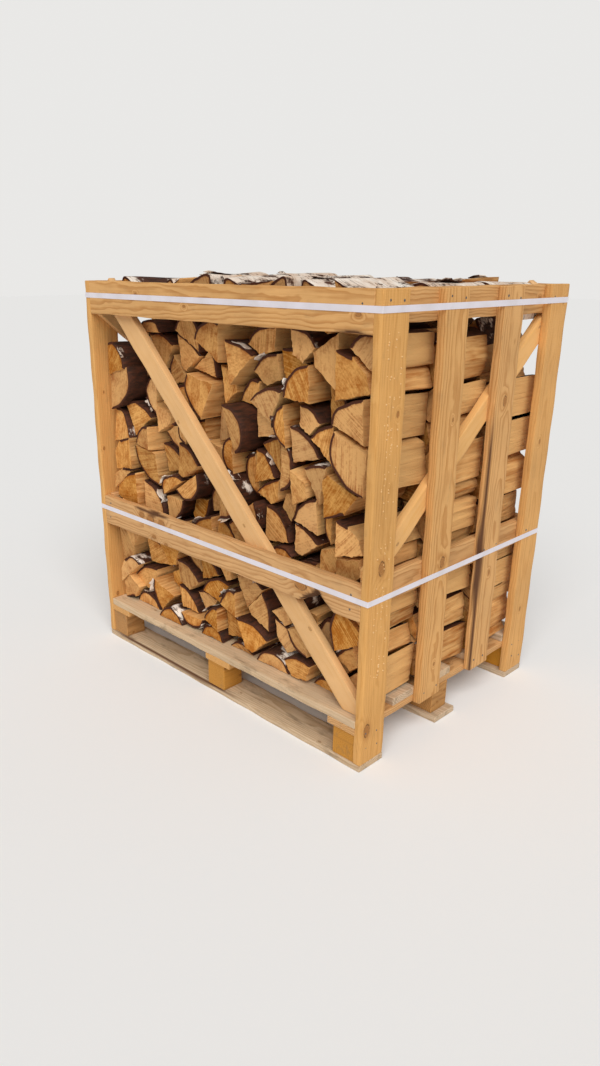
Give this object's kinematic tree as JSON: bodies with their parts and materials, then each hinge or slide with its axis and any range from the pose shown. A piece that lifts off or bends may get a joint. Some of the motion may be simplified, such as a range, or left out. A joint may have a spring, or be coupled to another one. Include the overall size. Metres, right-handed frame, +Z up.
{
  "type": "crate of firewood",
  "caption": "Nailed softwood pallet crate with slatted ends and diagonal braces, strapped round and stacked full of split birch logs.",
  "frame": {"origin": "on the floor, under the middle of the crate", "axes": "+Z up; -Y out of the front long wall, where the log ends show; +X towards the right end wall"},
  "size_m": [1.1222, 0.8022, 1.1879],
  "materials": {
    "crate_boards": "rough-sawn pine, unfinished",
    "braces": "fresh sawn pine, paler and smoother",
    "pallet_boards": "rough-sawn pine, greyed and scuffed",
    "pallet_blocks": "sawn pine block, end grain darkened",
    "strap": "semi-gloss white polypropylene strapping, faintly embossed",
    "firewood": "split and sawn birch, bark left on"
  },
  "bodies": {
    "root": {"bottom_board_front": "pallet_boards", "block_front_left": "pallet_blocks", "block_front_middle": "pallet_blocks", "block_front_right": "pallet_blocks", "bottom_board_middle": "pallet_boards", "block_middle_left": "pallet_blocks", "block_middle_middle": "pallet_blocks", "block_middle_right": "pallet_blocks", "bottom_board_back": "pallet_boards", "block_back_left": "pallet_blocks", "block_back_middle": "pallet_blocks", "block_back_right": "pallet_blocks", "stringer_left": "crate_boards", "stringer_middle": "crate_boards", "stringer_right_inner": "crate_boards", "stringer_right_outer": "crate_boards", "deck_board_1": "pallet_boards", "deck_board_2": "pallet_boards", "deck_board_3": "pallet_boards", "deck_board_4": "pallet_boards", "deck_board_5": "pallet_boards", "front_top_rail": "crate_boards", "front_mid_rail": "crate_boards", "front_brace": "braces", "back_top_rail": "crate_boards", "back_mid_rail": "crate_boards", "back_brace": "braces", "right_post_front": "crate_boards", "right_slat_front": "crate_boards", "right_post_back": "crate_boards", "right_slat_back": "crate_boards", "right_top_rail": "crate_boards", "right_mid_rail": "crate_boards", "right_brace": "braces", "left_post_front": "crate_boards", "left_slat_front": "crate_boards", "left_post_back": "crate_boards", "left_slat_back": "crate_boards", "left_top_rail": "crate_boards", "left_mid_rail": "crate_boards", "left_brace": "braces", "top_strap": "strap", "middle_strap": "strap", "firewood_front_row": "firewood", "firewood_middle_row": "firewood", "firewood_back_row": "firewood", "top_log_01": "firewood", "top_log_02": "firewood", "top_log_03": "firewood", "top_log_04": "firewood", "top_log_05": "firewood", "top_log_06": "firewood", "top_log_07": "firewood", "top_log_08": "firewood", "top_log_09": "firewood", "top_log_10": "firewood"}
  },
  "joints": []
}
